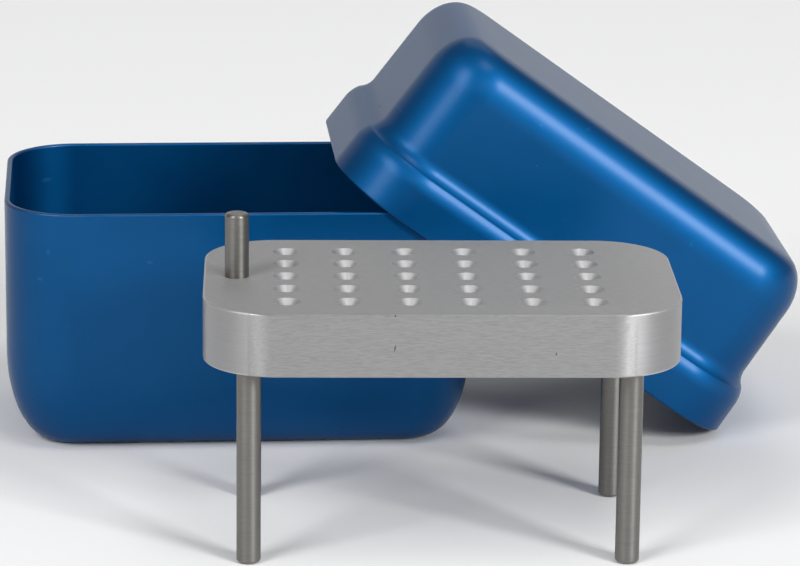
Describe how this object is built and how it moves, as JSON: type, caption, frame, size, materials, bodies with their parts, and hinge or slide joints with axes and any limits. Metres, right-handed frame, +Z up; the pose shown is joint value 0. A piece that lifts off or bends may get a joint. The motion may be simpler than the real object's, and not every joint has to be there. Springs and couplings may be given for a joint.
{
  "type": "instrument box set",
  "caption": "Blue anodised instrument box with a stepped lift-off lid leaning on it, and a drilled metal holder block on round legs that stands in front and stores inside.",
  "frame": {"origin": "centre of the box's underside, on the surface that the whole set stands on", "axes": "+Z up, +X along the box's length towards the leaning lid, and -Y is the front, where the block stands"},
  "size_m": [0.1429, 0.1223, 0.0729],
  "materials": {
    "anodised_blue": "satin blue anodised sheet with small dents and rubbed edges",
    "brushed_aluminium": "brushed along its length, with fine scratches and small nicks",
    "stainless_steel": "satin ground pin, slightly worn"
  },
  "bodies": {
    "box": {"box": "anodised_blue"},
    "lid": {"lid": "anodised_blue"},
    "block": {"block_plate": "brushed_aluminium", "leg_front_left": "stainless_steel", "leg_front_right": "stainless_steel", "leg_back_left": "stainless_steel", "leg_back_right": "stainless_steel", "lifting_post": "stainless_steel"}
  },
  "joints": [
    {"name": "lid_lift", "type": "slide", "parent": "box", "child": "lid", "axis": [0, 0, 1], "range_m": [0, 0.06]},
    {"name": "block_lift", "type": "slide", "parent": "box", "child": "block", "axis": [0, 0, 1], "range_m": [0, 0.06]}
  ]
}
